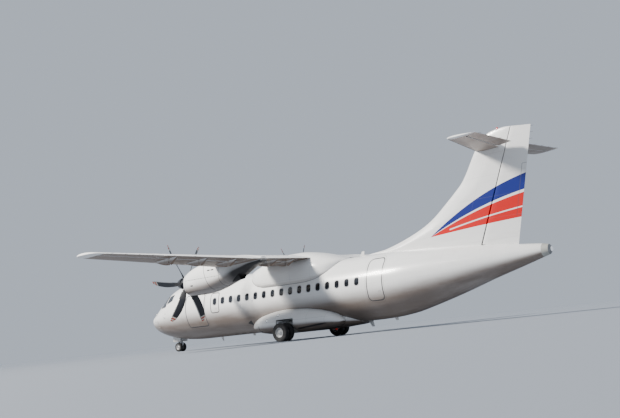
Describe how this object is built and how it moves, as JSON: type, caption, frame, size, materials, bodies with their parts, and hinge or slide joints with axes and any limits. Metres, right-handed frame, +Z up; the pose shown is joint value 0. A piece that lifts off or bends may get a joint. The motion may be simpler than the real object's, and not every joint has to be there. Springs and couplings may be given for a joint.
{
  "type": "twin turboprop airliner",
  "caption": "High-wing T-tail airliner with propellers, control surfaces, doors and wheels on working joints, standing on its landing gear.",
  "frame": {"origin": "on the ground under the middle of the length and span, the wheels standing on it", "axes": "+X aft, +Y to starboard, +Z up"},
  "size_m": [22.67, 24.57, 7.59],
  "materials": {
    "painted_skin": "gloss",
    "painted_composite": "gloss",
    "blade": "satin",
    "gear_metal": "satin",
    "engine_metal": "satin",
    "wheel_metal": "satin",
    "tyre": "matte"
  },
  "bodies": {
    "airframe": {"fuselage_nose": "painted_skin", "fuselage_cabin": "painted_skin", "fuselage_tail": "painted_skin", "belly_fairing": "painted_composite", "wing_fairing": "painted_composite", "wing_centre": "painted_skin", "wing_left": "painted_skin", "wing_right": "painted_skin", "nacelle_left": "painted_composite", "nacelle_right": "painted_composite", "engine_left": "engine_metal", "engine_right": "engine_metal", "fin": "painted_composite", "fin_tip": "painted_composite", "tailplane": "painted_composite", "nose_leg": "gear_metal", "nose_gear_door_left": "painted_skin", "nose_gear_door_right": "painted_skin", "main_leg_left": "gear_metal", "main_leg_right": "gear_metal", "service_door": "painted_skin", "exit_left": "painted_skin", "exit_right": "painted_skin"},
    "propeller_left": {"propeller_left": "blade", "spinner_left": "blade"},
    "propeller_right": {"propeller_right": "blade", "spinner_right": "blade"},
    "nose_fork": {"nose_fork": "gear_metal"},
    "nose_wheels": {"nose_tyre_left": "tyre", "nose_tyre_right": "tyre", "nose_rim_left": "wheel_metal", "nose_rim_right": "wheel_metal"},
    "main_wheels_left": {"main_left_tyre_left": "tyre", "main_left_tyre_right": "tyre", "main_left_rim_left": "wheel_metal", "main_left_rim_right": "wheel_metal"},
    "main_wheels_right": {"main_right_tyre_left": "tyre", "main_right_tyre_right": "tyre", "main_right_rim_left": "wheel_metal", "main_right_rim_right": "wheel_metal"},
    "flap_inner_left": {"flap_inner_left": "painted_composite"},
    "flap_outer_left": {"flap_outer_left": "painted_composite"},
    "aileron_left": {"aileron_left": "painted_composite"},
    "elevator_left": {"elevator_left": "painted_composite"},
    "flap_inner_right": {"flap_inner_right": "painted_composite"},
    "flap_outer_right": {"flap_outer_right": "painted_composite"},
    "aileron_right": {"aileron_right": "painted_composite"},
    "elevator_right": {"elevator_right": "painted_composite"},
    "rudder": {"rudder": "painted_composite"},
    "passenger_door": {"passenger_door": "painted_skin"},
    "cargo_door": {"cargo_door": "painted_skin"}
  },
  "joints": [
    {"name": "propeller_left_spin", "type": "hinge", "parent": "airframe", "child": "propeller_left", "pos_m": [-4.595, -4.05, 3.065], "axis": [1, 0, 0], "continuous": true},
    {"name": "propeller_right_spin", "type": "hinge", "parent": "airframe", "child": "propeller_right", "pos_m": [-4.595, 4.05, 3.065], "axis": [1, 0, 0], "continuous": true},
    {"name": "nose_steer", "type": "hinge", "parent": "airframe", "child": "nose_fork", "pos_m": [-9.615, 0, 0.5], "axis": [0, 0, 1], "range_deg": [-60, 60]},
    {"name": "nose_wheels_spin", "type": "hinge", "parent": "nose_fork", "child": "nose_wheels", "pos_m": [-9.615, 0, 0.225], "axis": [0, 1, 0], "continuous": true},
    {"name": "main_wheels_left_spin", "type": "hinge", "parent": "airframe", "child": "main_wheels_left", "pos_m": [-0.835, -2.05, 0.4065], "axis": [0, 1, 0], "continuous": true},
    {"name": "main_wheels_right_spin", "type": "hinge", "parent": "airframe", "child": "main_wheels_right", "pos_m": [-0.835, 2.05, 0.4065], "axis": [0, 1, 0], "continuous": true},
    {"name": "flap_inner_left_hinge", "type": "hinge", "parent": "airframe", "child": "flap_inner_left", "pos_m": [-0.3789, -1.9, 3.34279], "axis": [0, 1, 0], "range_deg": [0, 35]},
    {"name": "flap_outer_left_hinge", "type": "hinge", "parent": "airframe", "child": "flap_outer_left", "pos_m": [-0.43244, -5.56, 3.37361], "axis": [0.0731, 0.9964, -0.0421], "range_deg": [0, 35]},
    {"name": "aileron_left_hinge", "type": "hinge", "parent": "airframe", "child": "aileron_left", "pos_m": [-0.72622, -9.31, 3.83315], "axis": [0.0715, 0.9966, -0.042], "range_deg": [-25, 25]},
    {"name": "elevator_left_hinge", "type": "hinge", "parent": "airframe", "child": "elevator_left", "pos_m": [9.84169, -0.35, 6.9], "axis": [-0.1099, 0.9939, 0], "range_deg": [-23, 15]},
    {"name": "flap_inner_right_hinge", "type": "hinge", "parent": "airframe", "child": "flap_inner_right", "pos_m": [-0.3789, 1.9, 3.34279], "axis": [0, 1, 0], "range_deg": [0, 35]},
    {"name": "flap_outer_right_hinge", "type": "hinge", "parent": "airframe", "child": "flap_outer_right", "pos_m": [-0.43244, 5.56, 3.37361], "axis": [-0.0731, 0.9964, 0.0421], "range_deg": [0, 35]},
    {"name": "aileron_right_hinge", "type": "hinge", "parent": "airframe", "child": "aileron_right", "pos_m": [-0.72622, 9.31, 3.83315], "axis": [-0.0715, 0.9966, 0.042], "range_deg": [-25, 25]},
    {"name": "elevator_right_hinge", "type": "hinge", "parent": "airframe", "child": "elevator_right", "pos_m": [9.84169, 0.35, 6.9], "axis": [0.1099, 0.9939, 0], "range_deg": [-23, 15]},
    {"name": "rudder_hinge", "type": "hinge", "parent": "airframe", "child": "rudder", "pos_m": [8.545, 0, 3.08], "axis": [0.3794, 0, 0.9253], "range_deg": [-27, 27]},
    {"name": "passenger_door_hinge", "type": "hinge", "parent": "airframe", "child": "passenger_door", "pos_m": [3.87, -1.297, 1.3297], "axis": [1, 0, 0], "range_deg": [0, 125]},
    {"name": "cargo_door_hinge", "type": "hinge", "parent": "airframe", "child": "cargo_door", "pos_m": [-6.9, -1.246, 2.6503], "axis": [1, 0, 0], "range_deg": [-110, 0]}
  ],
  "couplings": [
    {"joint": "aileron_left_hinge", "follows": "aileron_right_hinge", "ratio": -1},
    {"joint": "elevator_left_hinge", "follows": "elevator_right_hinge", "ratio": 1}
  ]
}
